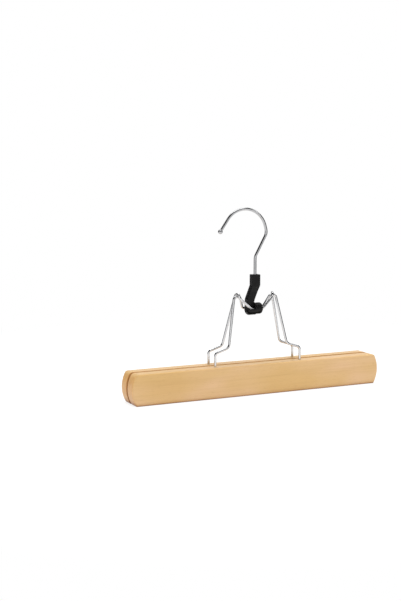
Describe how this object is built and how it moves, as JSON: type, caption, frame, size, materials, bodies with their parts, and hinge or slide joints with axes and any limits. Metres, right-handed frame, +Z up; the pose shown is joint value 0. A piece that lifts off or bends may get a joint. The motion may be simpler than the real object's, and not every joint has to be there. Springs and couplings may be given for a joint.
{
  "type": "trouser clamp hanger",
  "caption": "Wooden clamp hanger for trousers: felt-lined jaws on crossed wire frames, closed by a black eccentric lever that carries a turning steel hook.",
  "frame": {"origin": "middle of the closed hanger on the plane that the jaws stand on", "axes": "+X along the jaws, -Y towards the front jaw, +Z up through the stem of the hook"},
  "size_m": [0.25, 0.026, 0.1682],
  "materials": {
    "jaw_wood": "clear satin varnish on pale straight-grained wood",
    "felt": "pressed wool felt",
    "plated_wire": "bright plated round steel wire",
    "black_plastic": "semi-matte moulded plastic"
  },
  "bodies": {
    "front": {"front_jaw": "jaw_wood", "front_felt": "felt", "front_wire": "plated_wire"},
    "rear": {"rear_jaw": "jaw_wood", "rear_felt": "felt", "rear_wire": "plated_wire"},
    "lever": {"cam_lever": "black_plastic"},
    "hook": {"hook_wire": "plated_wire", "hook_ball": "plated_wire"}
  },
  "joints": [
    {"name": "jaw_hinge", "type": "hinge", "parent": "front", "child": "rear", "pos_m": [0, 0, 0.0883], "axis": [1, 0, 0], "range_deg": [0, 9]},
    {"name": "lever_turn", "type": "hinge", "parent": "rear", "child": "lever", "pos_m": [0, -0.0045, 0.0774], "axis": [1, 0, 0], "range_deg": [0, 90]},
    {"name": "hook_turn", "type": "hinge", "parent": "lever", "child": "hook", "pos_m": [0, 0, 0.104], "axis": [0, 0, 1], "continuous": true}
  ],
  "couplings": [
    {"joint": "jaw_hinge", "follows": "lever_turn", "ratio": 0.1}
  ]
}
